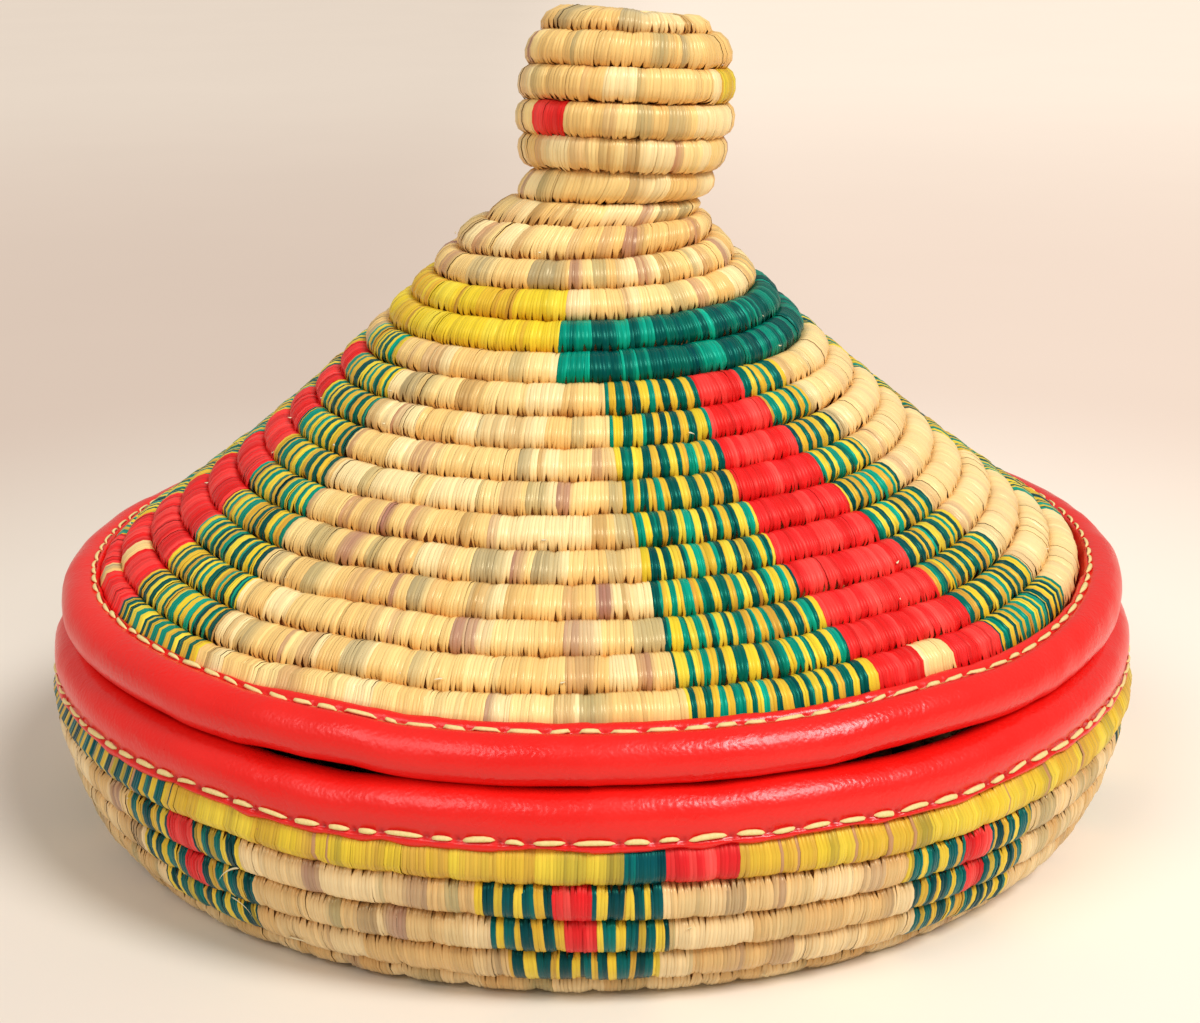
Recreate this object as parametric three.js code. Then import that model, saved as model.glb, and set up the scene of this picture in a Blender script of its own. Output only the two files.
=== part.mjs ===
// Coiled bread basket: a shallow tray, and a conical lid with a leaning knob.
// Each is one long grass coil sewn row to row, with a padded leather roll round its rim.
// Millimetres, +Z up, origin where the tray's middle meets the table. The front is -Y.
import * as THREE from 'three';
import { mergeVertices } from 'three/addons/utils/BufferGeometryUtils.js';

// How many flat faces make a turn, and the arcs of the leather's outer face and of its hollow
const TURN_STEPS = 36;
const ROLL_STEPS = 7;
const HOLLOW_STEPS = 6;

// The coil: distance from row to row on the tray, and on the lid at its rim, where each row
// further in is a little closer. Then how far the rows swell from the wall's middle line at
// crest and valley, and how far the plain side of the wall lies from that line.
const TRAY_ROW_PITCH = 11.5;
const LID_ROW_PITCH = 12.38;
const LID_ROW_NARROWING = 0.0568;
const ROW_CREST = 5.6;
const ROW_VALLEY = 3.5;
const PLAIN_SIDE = 4.9;

// The flat button that each coil starts from, and how far round it the rows' valleys deepen
const BUTTON_RADIUS = 4;
const BUTTON_FADE = 6;

// Where the leather is sewn on, the stitches press the coil flat, over a short run
const SEWN_SIDE = 3.6;
const SEWN_RUN = 2.5;

// The tray: a flat floor, a round knee, a belly, and a rim drawn in a little above the belly
const FLOOR_RADIUS = 155;
const KNEE_REACH = 10;
const BELLY_FLARE = 19.1;
const BELLY_RISE = 41.9;
const BELLY_SLOPE = THREE.MathUtils.degToRad(7);
const BELLY_SWEEP = 16;
const RIM_DRAWN_IN = 3.8;
const RIM_RISE = 11.7;
const RIM_SLOPE = THREE.MathUtils.degToRad(24);
const BELLY_TO_RIM_SWEEP = 4;
const RIM_SWEEP = 6.5;

// The lid: a slightly hollow cone that ends in a waist
const LID_INSET = 2.8;
const CONE_TOP_RADIUS = 38.3;
const CONE_RISE = 109.4;
const CONE_HOLLOW = 5.9;
const WAIST_RADIUS = 23.8;
const WAIST_RISE = 16.7;
const WAIST_SWEEP_UP = 6.3;
const WAIST_SWEEP_DOWN = 9.9;
const FLARE_SWEEP = 11.7;

// The knob above the waist, which leans to the right and a little back, and is sewn off
// centre, a step that comes within two rows about the waist
const KNOB_RADIUS = 29.3;
const KNOB_RISE = 50.5;
const KNOB_SHOULDER = 10.1;
const KNOB_SHOULDER_DROP = 23;
const KNOB_TOP_SWEEP = 8.6;
const KNOB_SIDE_SWEEP = 9;
const KNOB_DRAWN_IN_FROM = 17.7;
const KNOB_OFFSET = 9.1;
const OFFSET_FROM_BELOW_WAIST = 14;
const OFFSET_FULL_ABOVE_WAIST = 5;
const KNOB_LEAN_RIGHT = THREE.MathUtils.degToRad(6.2);
const KNOB_LEAN_BACK = THREE.MathUtils.degToRad(4.6);

// The rim rolls: a padded core in a leather strip whose two lips lie on the wall.
// The gap to the last row is from the roll's middle to that row's middle, at the front.
const ROLL_RADIUS = 8.1;
const LEATHER_THICKNESS = 1.2;
const LIP_REACH = 9.4;
const LAST_ROW_GAP = 12.4;

// The running stitch, set in from the leather's edge
const THREAD_THICKNESS = 1.4;
const STITCH_INSET = 2.2;

// The gap kept between pieces that touch
const CLEARANCE = 0.3;

const CORE_RADIUS = ROLL_RADIUS - LEATHER_THICKNESS - CLEARANCE;
const FLOOR_MIDDLE = ROW_CREST;

const straw = { color: 0xdcc08a, roughness: 0.55, metalness: 0 };
const bundle = { color: 0xb59a66, roughness: 0.8, metalness: 0 };
const leather = { color: 0xd8231f, roughness: 0.38, metalness: 0 };
const thread = { color: 0xefe2a8, roughness: 0.6, metalness: 0 };

const point2 = (radius, height) => new THREE.Vector2(radius, height);

// A wall's middle line, as radius and height, from the coil's middle out to its rim roll.
// Places on it are named by the distance walked along it, and normals point outside.
function wallLine({ curves, outside, pitch, narrowing }) {
  const path = new THREE.CurvePath();
  curves.forEach((curve) => path.add(curve));
  const rim = path.getLength();
  const frame = (distance) => {
    const share = THREE.MathUtils.clamp(distance / rim, 0, 1);
    const along = path.getTangent(share);
    const normal = point2(along.y, -along.x).multiplyScalar(outside);
    return { middle: path.getPoint(share), along, normal };
  };
  const aside = (distance, offset) => {
    const { middle, normal } = frame(distance);
    return middle.addScaledVector(normal, offset);
  };
  return { frame, aside, rim, pitch, narrowing, ends: path.getCurveLengths() };
}

// Rows are counted back from the rim. The coil climbs one row in each turn, to the right
// on the lid and to the left on the tray, which is the same way along both wall lines.
// The way back to a row is its count times (pitch - narrowing times its count).
function distanceAt(row, turn, { rim, pitch, narrowing }) {
  const count = row + turn;
  return rim - LAST_ROW_GAP - count * (pitch - narrowing * count);
}

function rowAt(distance, turn, { rim, pitch, narrowing }) {
  const back = rim - LAST_ROW_GAP - distance;
  return (2 * back) / (pitch + Math.sqrt(pitch ** 2 - 4 * narrowing * back)) - turn;
}

// The rows stop where the leather starts, and the coil stops short of the roll's padded core
const rowsEnd = (line) => line.rim - LIP_REACH - CLEARANCE - SEWN_RUN;
const wallEnd = (line) => line.rim - CORE_RADIUS - CLEARANCE;

// A row's section, as shares of a row and how far it has swollen from valley to crest
const FULL_ROW = [[-0.5, 0], [-0.22, 1], [0.22, 1], [0.5, 0]];
const FLOOR_ROW = [[-0.5, 0], [0, 1], [0.5, 0]];

function rowSwell(shape, row) {
  const share = row - Math.round(row);
  const next = Math.max(1, shape.findIndex(([end]) => share <= end));
  const [start, low] = shape[next - 1];
  const [end, high] = shape[next];
  return THREE.MathUtils.mapLinear(share, start, end, low, high);
}

// A closed ring from the outline of its section at each share of a turn
function ringSolid(outlineAt, bend = (place) => place) {
  const positions = [];
  const inOrder = THREE.ShapeUtils.area(outlineAt(0)) < 0;
  const count = outlineAt(0).length;
  for (let i = 0; i <= TURN_STEPS; i += 1) {
    const angle = (i / TURN_STEPS) * 2 * Math.PI;
    const outline = outlineAt(i / TURN_STEPS);
    for (const { x: radius, y: height } of inOrder ? outline : outline.reverse()) {
      const place = new THREE.Vector3(radius * Math.sin(angle), -radius * Math.cos(angle), height);
      positions.push(...bend(place).toArray());
    }
  }
  const faces = [];
  for (let i = 0; i < TURN_STEPS; i += 1) {
    for (let j = 0; j < count; j += 1) {
      const near = i * count;
      const far = near + count;
      const next = (j + 1) % count;
      faces.push(near + j, near + next, far + next, near + j, far + next, far + j);
    }
  }
  return closeUp(positions, faces);
}

// Points that fall together become one, and faces that have shrunk to nothing go
function closeUp(positions, faces) {
  const raw = new THREE.BufferGeometry();
  raw.setAttribute('position', new THREE.Float32BufferAttribute(positions, 3));
  raw.setIndex(faces);
  const merged = mergeVertices(raw, 1e-3);
  const index = Array.from(merged.index.array);
  const kept = index.filter((_, k) => {
    const [a, b, c] = index.slice(k - (k % 3), k - (k % 3) + 3);
    return a !== b && b !== c && c !== a;
  });
  merged.setIndex(kept);
  merged.computeVertexNormals();
  return merged;
}

// The pressed edge of a wall, under the leather: from the end of its rows to its own end
function sewnEdge(line, side) {
  const start = rowsEnd(line) + SEWN_RUN;
  return [0, 0.5, 1].map((share) => (
    line.aside(THREE.MathUtils.lerp(start, wallEnd(line), share), side * SEWN_SIDE)
  ));
}

// The climbing rows on one side of a wall, from the coil's middle outwards. Where the wall
// holds that middle they start with the flat button, as high as a crest.
function rowSideOutline({ line, from, to, side, shape }, turn) {
  const start = Math.max(from, BUTTON_RADIUS);
  const firstRow = Math.floor(rowAt(to, 1, line)) - 1;
  const lastRow = Math.ceil(rowAt(start, 0, line)) + 1;
  const outline = from < start ? [line.aside(from, side * ROW_CREST)] : [];
  for (let row = lastRow; row >= firstRow; row -= 1) {
    for (const [share] of shape.slice(1)) {
      const distance = THREE.MathUtils.clamp(distanceAt(row - share, turn, line), start, to);
      const sunk = Math.min(1, (distance - BUTTON_RADIUS) / BUTTON_FADE);
      const swell = THREE.MathUtils.lerp(1, rowSwell(shape, rowAt(distance, turn, line)), sunk);
      outline.push(line.aside(distance, side * THREE.MathUtils.lerp(ROW_VALLEY, ROW_CREST, swell)));
    }
  }
  return outline;
}

// The plain side of a wall, in even steps from the coil's middle outwards
function plainSideOutline({ line, from, to, side, steps }) {
  return Array.from({ length: steps + 1 }, (_, k) => (
    line.aside(THREE.MathUtils.lerp(from, to, k / steps), side * PLAIN_SIDE)
  ));
}

// A coiled wall between two distances along its line, closed by the pressed edge where it is sewn on
function coiledWall({ line, from, to, rows, back, sewn, bend }) {
  const outlineAt = (turn) => {
    const outline = rowSideOutline({ line, from, to, ...rows }, turn);
    if (sewn) {
      outline.push(...sewnEdge(line, rows.side), ...sewnEdge(line, -rows.side).reverse());
    }
    const behind = back.shape
      ? rowSideOutline({ line, from, to, side: -rows.side, ...back }, turn)
      : plainSideOutline({ line, from, to, side: -rows.side, ...back });
    return outline.concat(behind.reverse());
  };
  return ringSolid(outlineAt, bend);
}

// Places in a rim roll's section: angle 0 is the wall's edge, and a right angle its outer side
function rollPoints(line, radius, angles) {
  const { middle, along, normal } = line.frame(line.rim);
  return angles.map((angle) => middle.clone()
    .addScaledVector(along, radius * Math.cos(angle))
    .addScaledVector(normal, radius * Math.sin(angle)));
}

// How far the under and upper face of a leather lip lie from the wall's middle line
const LIP_UNDER = SEWN_SIDE + CLEARANCE;
const LIP_UPPER = LIP_UNDER + LEATHER_THICKNESS;

// The angles of an arc round the roll, from where it leaves one lip to where it meets the other
function rollAngles(radius, lipOffset, steps) {
  const first = Math.PI - Math.asin(lipOffset / radius);
  return Array.from({ length: steps + 1 }, (_, k) => THREE.MathUtils.lerp(first, -first, k / steps));
}

// The hollow inside the leather, whose faces the core's own faces follow
const HOLLOW_RADIUS = CORE_RADIUS + CLEARANCE;
const hollowAngles = rollAngles(HOLLOW_RADIUS, LIP_UNDER, HOLLOW_STEPS);

function rimCore(line) {
  const outline = rollPoints(line, CORE_RADIUS, [...hollowAngles, -Math.PI]);
  return ringSolid(() => [...outline]);
}

// The leather strip: an arc round the core, and a lip that follows the wall on each side
function rimLeather(line) {
  const lip = (offset, radius) => {
    const root = Math.sqrt(radius ** 2 - offset ** 2);
    return [LIP_REACH, (LIP_REACH + root) / 2, root].map((back) => line.aside(line.rim - back, offset));
  };
  const arc = (radius, angles) => rollPoints(line, radius, angles.slice(1, -1));
  const outline = [
    ...lip(LIP_UPPER, ROLL_RADIUS),
    ...arc(ROLL_RADIUS, rollAngles(ROLL_RADIUS, LIP_UPPER, ROLL_STEPS)),
    ...lip(-LIP_UPPER, ROLL_RADIUS).reverse(),
    ...lip(-LIP_UNDER, HOLLOW_RADIUS),
    ...arc(HOLLOW_RADIUS, hollowAngles).reverse(),
    ...lip(LIP_UNDER, HOLLOW_RADIUS).reverse(),
  ];
  return ringSolid(() => [...outline]);
}

// The running stitch, as one thin ring that lies on a lip
function rimThread(line, side) {
  const radius = THREAD_THICKNESS / 2;
  const { middle, along, normal } = line.frame(line.rim - LIP_REACH + STITCH_INSET);
  const outline = [0, 1, 2, 3].map((quarter) => middle.clone()
    .addScaledVector(along, radius * Math.cos((quarter * Math.PI) / 2))
    .addScaledVector(normal, side * (LIP_UPPER + CLEARANCE + radius) + radius * Math.sin((quarter * Math.PI) / 2)));
  return ringSolid(() => [...outline]);
}

// The tray's wall line: the flat floor, round the knee and up to the belly, then to the rim
const floorEdge = point2(FLOOR_RADIUS, FLOOR_MIDDLE);
const belly = point2(FLOOR_RADIUS + BELLY_FLARE, FLOOR_MIDDLE + BELLY_RISE);
const bellyAlong = point2(Math.sin(BELLY_SLOPE), Math.cos(BELLY_SLOPE));
const trayRim = point2(belly.x - RIM_DRAWN_IN, belly.y + RIM_RISE);
const rimAlong = point2(-Math.sin(RIM_SLOPE), Math.cos(RIM_SLOPE));
const trayCurves = [
  new THREE.LineCurve(point2(0, FLOOR_MIDDLE), floorEdge),
  new THREE.CubicBezierCurve(
    floorEdge,
    point2(FLOOR_RADIUS + KNEE_REACH, FLOOR_MIDDLE),
    belly.clone().addScaledVector(bellyAlong, -BELLY_SWEEP),
    belly,
  ),
  new THREE.CubicBezierCurve(
    belly,
    belly.clone().addScaledVector(bellyAlong, BELLY_TO_RIM_SWEEP),
    trayRim.clone().addScaledVector(rimAlong, -RIM_SWEEP),
    trayRim,
  ),
];
const trayLine = wallLine({ curves: trayCurves, outside: 1, pitch: TRAY_ROW_PITCH, narrowing: 0 });

// The lid's wall line: the knob's top, shoulder, side and waist, the flare, and the cone down
// to its rim roll, which rests on the tray's roll a little further in. The cone's curve passes
// half-way to its bend point, so that lies twice the hollow's depth in.
const rollsApart = 2 * ROLL_RADIUS + CLEARANCE;
const lidRim = point2(trayRim.x - LID_INSET, trayRim.y + Math.sqrt(rollsApart ** 2 - LID_INSET ** 2));
const coneTop = point2(CONE_TOP_RADIUS, lidRim.y + CONE_RISE);
const coneOut = point2(CONE_RISE, lidRim.x - coneTop.x).normalize();
const coneBend = coneTop.clone().lerp(lidRim, 0.5).addScaledVector(coneOut, -2 * CONE_HOLLOW);
const coneAlong = coneBend.clone().sub(coneTop).normalize();
const waist = point2(WAIST_RADIUS, coneTop.y + WAIST_RISE);
const knobTop = waist.y + KNOB_RISE;
const knobFlat = point2(KNOB_RADIUS - KNOB_SHOULDER, knobTop);
const knobSide = point2(KNOB_RADIUS, knobTop - KNOB_SHOULDER_DROP);
const lidCurves = [
  new THREE.LineCurve(point2(0, knobTop), knobFlat),
  new THREE.CubicBezierCurve(
    knobFlat,
    point2(knobFlat.x + KNOB_TOP_SWEEP, knobTop),
    point2(KNOB_RADIUS, knobSide.y + KNOB_SIDE_SWEEP),
    knobSide,
  ),
  new THREE.CubicBezierCurve(
    knobSide,
    point2(KNOB_RADIUS, knobSide.y - KNOB_DRAWN_IN_FROM),
    point2(WAIST_RADIUS, waist.y + WAIST_SWEEP_UP),
    waist,
  ),
  new THREE.CubicBezierCurve(
    waist,
    point2(WAIST_RADIUS, waist.y - WAIST_SWEEP_DOWN),
    coneTop.clone().addScaledVector(coneAlong, -FLARE_SWEEP),
    coneTop,
  ),
  new THREE.QuadraticBezierCurve(coneTop, coneBend, lidRim),
];
const lidLine = wallLine({
  curves: lidCurves,
  outside: -1,
  pitch: LID_ROW_PITCH,
  narrowing: LID_ROW_NARROWING,
});

// The knob's step aside, which comes in about the waist, and its lean from the waist up
function leaning(place) {
  const full = THREE.MathUtils.smoothstep(
    place.z,
    waist.y - OFFSET_FROM_BELOW_WAIST,
    waist.y + OFFSET_FULL_ABOVE_WAIST,
  );
  const right = Math.tan(KNOB_LEAN_RIGHT);
  const back = Math.tan(KNOB_LEAN_BACK);
  const aboveWaist = Math.max(0, place.z - waist.y);
  return new THREE.Vector3(
    place.x + KNOB_OFFSET * full + right * aboveWaist,
    place.y + back * aboveWaist,
    place.z - full * (right * place.x + back * place.y),
  );
}

const group = new THREE.Group();

function add(name, finish, geometry) {
  const mesh = new THREE.Mesh(geometry, new THREE.MeshStandardMaterial(finish));
  mesh.name = name;
  group.add(mesh);
}

const floorEnd = trayLine.ends[0];
const waistDistance = lidLine.ends[2];

// The floor shows its rows on both faces, and the tray stands on the flat crests underneath
add('tray_floor_coil', straw, coiledWall({
  line: trayLine,
  from: 0,
  to: floorEnd - CLEARANCE,
  rows: { side: -1, shape: FLOOR_ROW },
  back: { shape: FULL_ROW },
}));
add('tray_wall_coil', straw, coiledWall({
  line: trayLine,
  from: floorEnd,
  to: rowsEnd(trayLine),
  sewn: true,
  rows: { side: 1, shape: FULL_ROW },
  back: { steps: 12 },
}));
add('lid_knob_coil', straw, coiledWall({
  line: lidLine,
  from: 0,
  to: waistDistance - CLEARANCE,
  rows: { side: 1, shape: FULL_ROW },
  back: { steps: 9 },
  bend: leaning,
}));
add('lid_cone_coil', straw, coiledWall({
  line: lidLine,
  from: waistDistance,
  to: rowsEnd(lidLine),
  sewn: true,
  rows: { side: 1, shape: FULL_ROW },
  back: { steps: 14 },
  bend: leaning,
}));

for (const [owner, line] of [['tray', trayLine], ['lid', lidLine]]) {
  add(`${owner}_rim_core`, bundle, rimCore(line));
  add(`${owner}_rim_leather`, leather, rimLeather(line));
  add(`${owner}_rim_outer_stitching`, thread, rimThread(line, 1));
  add(`${owner}_rim_inner_stitching`, thread, rimThread(line, -1));
}

export default group;
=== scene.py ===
# A coiled bread basket: a shallow tray, and a conical lid with a leaning knob, both of grass
# coil wrapped and sewn with split palm, with padded leather rims.
# The frame is in metres, +Z up, and the front is -Y. Sizes below are in millimetres.
import math
import bpy
import numpy as np
from mathutils import Matrix, Vector


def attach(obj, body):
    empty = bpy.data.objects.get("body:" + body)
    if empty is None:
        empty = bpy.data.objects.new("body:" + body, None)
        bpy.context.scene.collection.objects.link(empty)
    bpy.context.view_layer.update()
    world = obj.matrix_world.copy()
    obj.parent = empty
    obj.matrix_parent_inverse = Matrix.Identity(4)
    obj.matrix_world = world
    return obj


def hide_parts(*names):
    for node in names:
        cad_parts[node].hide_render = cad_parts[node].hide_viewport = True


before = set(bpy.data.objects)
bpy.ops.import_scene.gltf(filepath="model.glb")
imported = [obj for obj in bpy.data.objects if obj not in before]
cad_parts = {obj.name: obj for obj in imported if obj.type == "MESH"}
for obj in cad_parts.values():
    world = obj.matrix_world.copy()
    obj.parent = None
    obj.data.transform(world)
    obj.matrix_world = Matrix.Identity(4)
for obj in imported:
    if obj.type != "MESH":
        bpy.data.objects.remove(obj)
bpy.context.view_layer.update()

MM = 0.001
TAU = 2 * math.pi

# The studio: a pale table top that runs far back, with a painted pool of light round the basket,
# a little duller in the middle distance, and brighter on the right with painted light; two wide
# soft lamps, the stronger one on the right, and an even pale sky. The camera stands where
# the photograph was taken from. Distances on the table top are in metres from its middle.
CAMERA_PLACE = (2.7, -720.6, 309.8)
CAMERA_DOWN = math.radians(16.74)
CAMERA_ROLL = math.radians(-0.5)
LENS_WIDTH = 36.0
LENS_LENGTH = 67.1
# Painted light: the board's colour in the pool of light round the basket.
POOL_OF_LIGHT_COLOUR = "#FFF6E8"
FLOOR_MIDDLE_COLOUR = "#E8D5C6"
FLOOR_FAR_COLOUR = "#F6E8D9"
FLOOR_HALF = 6000.0
FLOOR_SUNK = 0.2
DULLER_BETWEEN = (0.2, 0.62)
PALER_BETWEEN = (0.8, 2.4)
# Painted light: across the middle the board goes from darker on the left to brighter on the right, the key
# lamp's side.
PAINTED_SIDE_LIGHT_BETWEEN = (-0.2, 0.2)
PAINTED_SIDE_LIGHT_LEVELS = (0.8, 1.04)
CLOUD_SIZE = 5.0
CLOUD_STRENGTH = 0.03
SKY_COLOUR = "#FFF4E8"
SKY_LIGHT = 0.42
SKY_SEEN = 0.82
LAMPS = {
    "key_lamp": {"azimuth": 50, "height": 50, "spread": 22, "strength": 2.1},
    "fill_lamp": {"azimuth": -42, "height": 46, "spread": 30, "strength": 0.78},
}


def linear(colour):
    """An sRGB hex colour as linear red, green, blue and alpha, by the sRGB curve."""
    parts = np.array([int(colour[k:k + 2], 16) for k in (1, 3, 5)]) / 255
    curved = np.where(parts <= 0.04045, parts / 12.92, ((parts + 0.055) / 1.055) ** 2.4)
    return (*curved.tolist(), 1.0)


def node(tree, kind, settings=None, inputs=None):
    """Adds a node. Settings are its own properties. An input takes a value, or a link from a socket."""
    made = tree.nodes.new(kind)
    for name, value in (settings or {}).items():
        setattr(made, name, value)
    for name, value in (inputs or {}).items():
        if isinstance(value, bpy.types.NodeSocket):
            tree.links.new(value, made.inputs[name])
        else:
            made.inputs[name].default_value = value
    return made


def blank_material(name):
    """A material with an empty node tree, and that tree."""
    material = bpy.data.materials.new(name)
    material.use_nodes = True
    material.node_tree.nodes.clear()
    return material, material.node_tree


def facing_out(places, faces):
    """The faces, turned over where the volume that they close comes out negative: a sixth of the sum of
    each face's triple products."""
    first, second, third, fourth = (places[faces[:, k]] - places.mean(axis=0) for k in range(4))
    volume = (first * (np.cross(second, third) + np.cross(third, fourth))).sum() / 6
    return faces[:, ::-1] if volume < 0 else faces


def noise(tree, place, scale, detail, distortion=0.0):
    """A noise texture's grey value. Its lumps are about one over the scale across."""
    return node(tree, "ShaderNodeTexNoise", None, {"Vector": place, "Scale": scale, "Detail": detail,
                                                   "Distortion": distortion}).outputs["Fac"]


def ramp(tree, value, between, levels=(0.0, 1.0), kind="LINEAR"):
    """The value carried from one range to another, and held at its ends."""
    return node(tree, "ShaderNodeMapRange", {"interpolation_type": kind},
                {"Value": value, "From Min": between[0], "From Max": between[1],
                 "To Min": levels[0], "To Max": levels[1]}).outputs["Result"]


def mix(tree, share, first, second, kind="MIX"):
    """The first colour blended with the second by a share."""
    return node(tree, "ShaderNodeMix", {"data_type": "RGBA", "blend_type": kind},
                {0: share, 6: first, 7: second}).outputs[2]


def skin(tree, inputs):
    """Gives the material its surface, a Principled shader with these inputs."""
    shader = node(tree, "ShaderNodeBsdfPrincipled", None, inputs)
    node(tree, "ShaderNodeOutputMaterial", None, {"Surface": shader.outputs[0]})


def surface(name, places, faces, material, tones=None, weave=None):
    """A smooth mesh object from places in millimetres and four-cornered faces.

    Tones are one linear colour for each place, and weave is one flat position, in millimetres, for
    each place. Both are kept on the mesh for its material.
    """
    mesh = bpy.data.meshes.new(name)
    places = np.asarray(places, float).reshape(-1, 3)
    faces = facing_out(places, faces)
    mesh.vertices.add(len(places))
    mesh.vertices.foreach_set("co", (places * MM).astype(np.float32).ravel())
    mesh.loops.add(faces.size)
    mesh.loops.foreach_set("vertex_index", faces.astype(np.int32).ravel())
    mesh.polygons.add(len(faces))
    mesh.polygons.foreach_set("loop_start", np.arange(0, faces.size, 4, dtype=np.int32))
    mesh.polygons.foreach_set("use_smooth", np.ones(len(faces), bool))
    mesh.update(calc_edges=True)
    if tones is not None:
        colours = np.ones((len(places), 4), np.float32)
        colours[:, :3] = tones.reshape(-1, 3)
        layer = mesh.color_attributes.new("tone", "FLOAT_COLOR", "POINT")
        layer.data.foreach_set("color", colours.ravel())
    if weave is not None:
        flat = weave.reshape(-1, 2)[faces.ravel()].astype(np.float32)
        mesh.uv_layers.new(name="weave").data.foreach_set("uv", flat.ravel())
    mesh.materials.append(material)
    piece = bpy.data.objects.new(name, mesh)
    bpy.context.scene.collection.objects.link(piece)
    return piece


# Matt board with painted light: a painted pool of light round the basket fades to a duller middle
# distance and the board grows paler again further off, with faint clouds, and painted light makes it
# brighter on the right than on the left, the key lamp's side.
floor_with_painted_light, tree = blank_material("matt_board_with_painted_light")
spot = node(tree, "ShaderNodeTexCoord").outputs["Object"]
away = node(tree, "ShaderNodeVectorMath", {"operation": "LENGTH"}, {0: spot}).outputs["Value"]
# Painted light: a pool of light round the basket, fading to the duller middle distance over DULLER_BETWEEN.
to_middle = ramp(tree, away, DULLER_BETWEEN, kind="SMOOTHSTEP")
to_far = ramp(tree, away, PALER_BETWEEN, kind="SMOOTHSTEP")
near = mix(tree, to_middle, linear(POOL_OF_LIGHT_COLOUR), linear(FLOOR_MIDDLE_COLOUR))
pale = mix(tree, to_far, near, linear(FLOOR_FAR_COLOUR))
cloud = noise(tree, spot, CLOUD_SIZE, 3.0)
mottle = node(tree, "ShaderNodeMath", {"operation": "MULTIPLY_ADD"},
              {0: cloud, 1: CLOUD_STRENGTH, 2: -CLOUD_STRENGTH / 2}).outputs[0]
# Painted light: the board's colour is scaled up towards the right, where the key lamp stands.
sideways = node(tree, "ShaderNodeSeparateXYZ", None, {0: spot}).outputs["X"]
painted_side_light = ramp(tree, sideways, PAINTED_SIDE_LIGHT_BETWEEN, PAINTED_SIDE_LIGHT_LEVELS, "SMOOTHSTEP")
level = node(tree, "ShaderNodeMath", {"operation": "ADD"}, {0: painted_side_light, 1: mottle}).outputs[0]
shade = node(tree, "ShaderNodeVectorMath", {"operation": "SCALE"}, {0: pale, "Scale": level}).outputs[0]
skin(tree, {"Base Color": shade, "Roughness": 0.9})

corners = FLOOR_HALF * np.array([[-1, -1, 0], [1, -1, 0], [1, 1, 0], [-1, 1, 0]]) - [0, 0, FLOOR_SUNK]
floor = surface("table_top", corners, np.array([[0, 1, 2, 3]]), floor_with_painted_light)

for name, facts in LAMPS.items():
    lamp = bpy.data.lights.new(name, "SUN")
    lamp.angle = math.radians(facts["spread"])
    lamp.energy = facts["strength"]
    holder = bpy.data.objects.new(name, lamp)
    bpy.context.scene.collection.objects.link(holder)
    holder.matrix_world = (Matrix.Rotation(math.radians(facts["azimuth"]), 4, "Z")
                           @ Matrix.Rotation(math.radians(90 - facts["height"]), 4, "X"))

sky = bpy.data.worlds.new("pale_sky")
sky.use_nodes = True
sky.node_tree.nodes.clear()
seen = node(sky.node_tree, "ShaderNodeLightPath").outputs["Is Camera Ray"]
strength = ramp(sky.node_tree, seen, (0.0, 1.0), (SKY_LIGHT, SKY_SEEN))
glow = node(sky.node_tree, "ShaderNodeBackground", None,
            {"Color": linear(SKY_COLOUR), "Strength": strength})
node(sky.node_tree, "ShaderNodeOutputWorld", None, {"Surface": glow.outputs[0]})
bpy.context.scene.world = sky
bpy.context.scene.view_settings.view_transform = "Standard"

lens = bpy.data.cameras.new("camera")
lens.sensor_width = LENS_WIDTH
lens.lens = LENS_LENGTH
camera = bpy.data.objects.new("camera", lens)
bpy.context.scene.collection.objects.link(camera)
camera.matrix_world = (Matrix.Translation(Vector(CAMERA_PLACE) * MM)
                       @ Matrix.Rotation(math.pi / 2 - CAMERA_DOWN, 4, "X")
                       @ Matrix.Rotation(CAMERA_ROLL, 4, "Z"))
bpy.context.scene.camera = camera

# The tray's floor: one grass coil wound flat from its middle outwards, wrapped all the way with
# split palm. Each wrap is a flat ribbon round the coil. Where the next row's stitches go through,
# at the rows' outer edge, the wraps draw in and narrow, so that thin dark slits open between them.
# A small knot fills the middle, where the coil starts.
# The coil's rows, and the knot
TRAY_ROW_PITCH = 11.5
ROW_CREST = 5.6
ROW_FILL = 0.528
LAST_ROW_GAP = 12.4
COIL_START = 3.0
KNOT_RADIUS = 4.4
KNOT_CREST = 5.3
KNOT_RIBS = 11
# The wraps on the coil, and how unevenly they lie
FLOOR_WRAP_SPACING = 1.5
SPACING_SPREAD = (0.72, 1.28)
SLACK = 0.37
SLOW_SLACK = 0.18
QUICK_SLACK = 0.13
WRAP_OVERLAP = 1.27
WRAP_EDGE_DROP = 0.24
CREST_ARC = math.radians(112)
SIDE_EASE = 0.86
CREST_EASE = 0.7
BULGE_LENGTHS = (10, 24)
NECK_DEPTH = 0.15
NECK_NARROWING = 0.05
# The grass inside, and where wraps and grass end under the leather
CORE_HALF = 0.45
CORE_CREST = 4.4
WRAPS_STOP = 7.6
CORE_STOPS = 8.0
PRESSED_FROM = 12.4
PRESSED_TO = 8.8
PRESSED_CREST = 0.62
# The tray's wall line, as radius and height: the floor, the knee, the belly and the rim
FLOOR_EDGE = 155.0
FLOOR_MIDDLE = 5.6
KNEE_REACH = 10.0
BELLY = (174.1, 47.5)
BELLY_ALONG = (math.sin(math.radians(7)), math.cos(math.radians(7)))
TRAY_RIM = (170.3, 59.2)
RIM_ALONG = (-math.sin(math.radians(24)), math.cos(math.radians(24)))
TABLE_GAP = 0.05
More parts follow.
